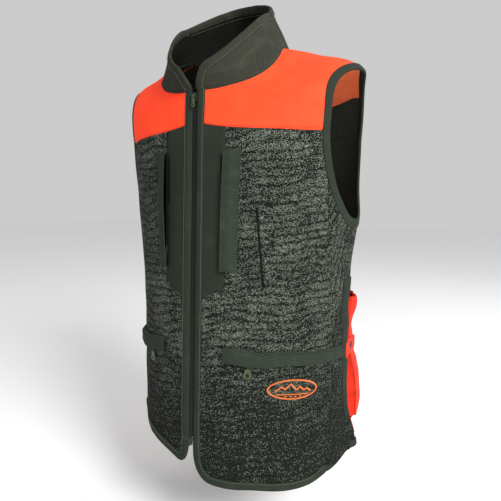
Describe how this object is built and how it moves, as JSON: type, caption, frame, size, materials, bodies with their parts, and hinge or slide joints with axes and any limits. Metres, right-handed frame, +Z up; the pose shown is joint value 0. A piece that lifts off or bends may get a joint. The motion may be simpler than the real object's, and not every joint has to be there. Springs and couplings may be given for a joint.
{
  "type": "hunting vest",
  "caption": "Sleeveless zipped field vest with stand collar, bright yoke, chest and hip pockets and a rear game bag",
  "frame": {"origin": "centre of the neck, level with the back neck seam", "axes": "+Z up the body, front faces -Y, +X is the wearer's left"},
  "size_m": [0.4026, 0.3067, 0.7395],
  "materials": {
    "melange_cloth": "twill flecked with pale green",
    "orange_cloth": "fine ribbed weave",
    "orange_nylon": "soft coated nylon",
    "green_cloth": "ribbed soft shell",
    "collar_cloth": "ribbed soft shell",
    "binding_tape": "folded tape",
    "zip_tape": "woven tape with moulded teeth",
    "pocket_mesh": "lining",
    "emblem_thread": "embroidered",
    "snap_metal": "satin",
    "puller_olive": "satin",
    "slider_metal": "satin"
  },
  "bodies": {
    "back": {"back_panel": "melange_cloth", "back_yoke": "orange_cloth", "collar_back": "collar_cloth", "armhole_bindings_back": "binding_tape", "hem_binding_back": "binding_tape", "side_tapes": "binding_tape", "hanger_loop": "binding_tape", "bag_lining": "orange_nylon", "bag_side_leaves": "orange_nylon"},
    "left_front": {"front_yoke_l": "orange_cloth", "front_panel_l": "melange_cloth", "side_panel_l": "melange_cloth", "chest_panel_l": "green_cloth", "collar_front_l": "collar_cloth", "placket_l": "binding_tape", "armhole_binding_l": "binding_tape", "hem_binding_l": "binding_tape", "zip_chain_l": "zip_tape", "zip_pin": "slider_metal", "chest_flap_l": "green_cloth", "chest_zip_l": "zip_tape", "pocket_flap_l": "green_cloth", "pocket_zip_l": "zip_tape", "pocket_bag_l": "pocket_mesh", "radio_pocket_welt": "binding_tape", "emblem": "emblem_thread"},
    "right_front": {"front_yoke_r": "orange_cloth", "front_panel_r": "melange_cloth", "side_panel_r": "melange_cloth", "chest_panel_r": "green_cloth", "collar_front_r": "collar_cloth", "placket_r": "binding_tape", "armhole_binding_r": "binding_tape", "hem_binding_r": "binding_tape", "zip_chain_r": "zip_tape", "chest_flap_r": "green_cloth", "chest_zip_r": "zip_tape", "pocket_flap_r": "green_cloth", "pocket_zip_r": "zip_tape", "pocket_bag_r": "pocket_mesh", "zip_box": "slider_metal"},
    "game_bag": {"bag_rear_panel": "orange_nylon", "bag_bottom": "orange_nylon", "bag_gussets": "orange_nylon", "bag_mouth_binding": "binding_tape", "bag_studs": "snap_metal"},
    "left_snap_tab": {"snap_tab_l": "orange_nylon", "snap_cap_l": "snap_metal"},
    "right_snap_tab": {"snap_tab_r": "orange_nylon", "snap_cap_r": "snap_metal"},
    "main_slider": {"main_slider": "slider_metal"},
    "main_puller": {"main_puller": "puller_olive"},
    "left_chest_slider": {"chest_slider_l": "slider_metal"},
    "right_chest_slider": {"chest_slider_r": "slider_metal"},
    "left_pocket_slider": {"pocket_slider_l": "slider_metal"},
    "right_pocket_slider": {"pocket_slider_r": "slider_metal"},
    "left_pocket_puller": {"pocket_puller_l": "puller_olive"},
    "right_pocket_puller": {"pocket_puller_r": "puller_olive"}
  },
  "joints": [
    {"name": "left_front_open", "type": "hinge", "parent": "back", "child": "left_front", "pos_m": [0.19, 0, -0.4], "axis": [0, 0, 1], "range_deg": [0, 35]},
    {"name": "right_front_open", "type": "hinge", "parent": "back", "child": "right_front", "pos_m": [-0.19, 0, -0.4], "axis": [0, 0, -1], "range_deg": [0, 35]},
    {"name": "zip_slide", "type": "slide", "parent": "left_front", "child": "main_slider", "axis": [0, -0.0418, -0.9991], "range_m": [0, 0.47]},
    {"name": "main_puller_lift", "type": "hinge", "parent": "main_slider", "child": "main_puller", "pos_m": [0, -0.15833, -0.09579], "axis": [-1, 0, 0], "range_deg": [0, 110]},
    {"name": "left_chest_slide", "type": "slide", "parent": "left_front", "child": "left_chest_slider", "axis": [0, -0.0313, -0.9995], "range_m": [0, 0.13]},
    {"name": "right_chest_slide", "type": "slide", "parent": "right_front", "child": "right_chest_slider", "axis": [0, 0.0313, 0.9995], "range_m": [0, 0.13]},
    {"name": "left_pocket_slide", "type": "hinge", "parent": "left_front", "child": "left_pocket_slider", "pos_m": [0.0081, 0.0036, -0.456], "axis": [0.1045, 0, 0.9945], "range_deg": [0, 42]},
    {"name": "right_pocket_slide", "type": "hinge", "parent": "right_front", "child": "right_pocket_slider", "pos_m": [-0.0081, 0.0036, -0.456], "axis": [0.1045, 0, -0.9945], "range_deg": [0, 42]},
    {"name": "left_pocket_puller_lift", "type": "hinge", "parent": "left_pocket_slider", "child": "left_pocket_puller", "pos_m": [0.08557, -0.15516, -0.47621], "axis": [-0.89, -0.4462, 0.0935], "range_deg": [0, 70]},
    {"name": "right_pocket_puller_lift", "type": "hinge", "parent": "right_pocket_slider", "child": "right_pocket_puller", "pos_m": [-0.08557, -0.15516, -0.47621], "axis": [-0.89, 0.4462, -0.0935], "range_deg": [0, 70]},
    {"name": "game_bag_open", "type": "hinge", "parent": "back", "child": "game_bag", "pos_m": [0, 0.1, -0.628], "axis": [-1, 0, 0], "range_deg": [0, 12]},
    {"name": "left_snap_open", "type": "hinge", "parent": "back", "child": "left_snap_tab", "pos_m": [0.1774, 0.017, -0.482], "axis": [0, 0, -1], "range_deg": [0, 75]},
    {"name": "right_snap_open", "type": "hinge", "parent": "back", "child": "right_snap_tab", "pos_m": [-0.1774, 0.017, -0.482], "axis": [0, 0, 1], "range_deg": [0, 75]}
  ]
}
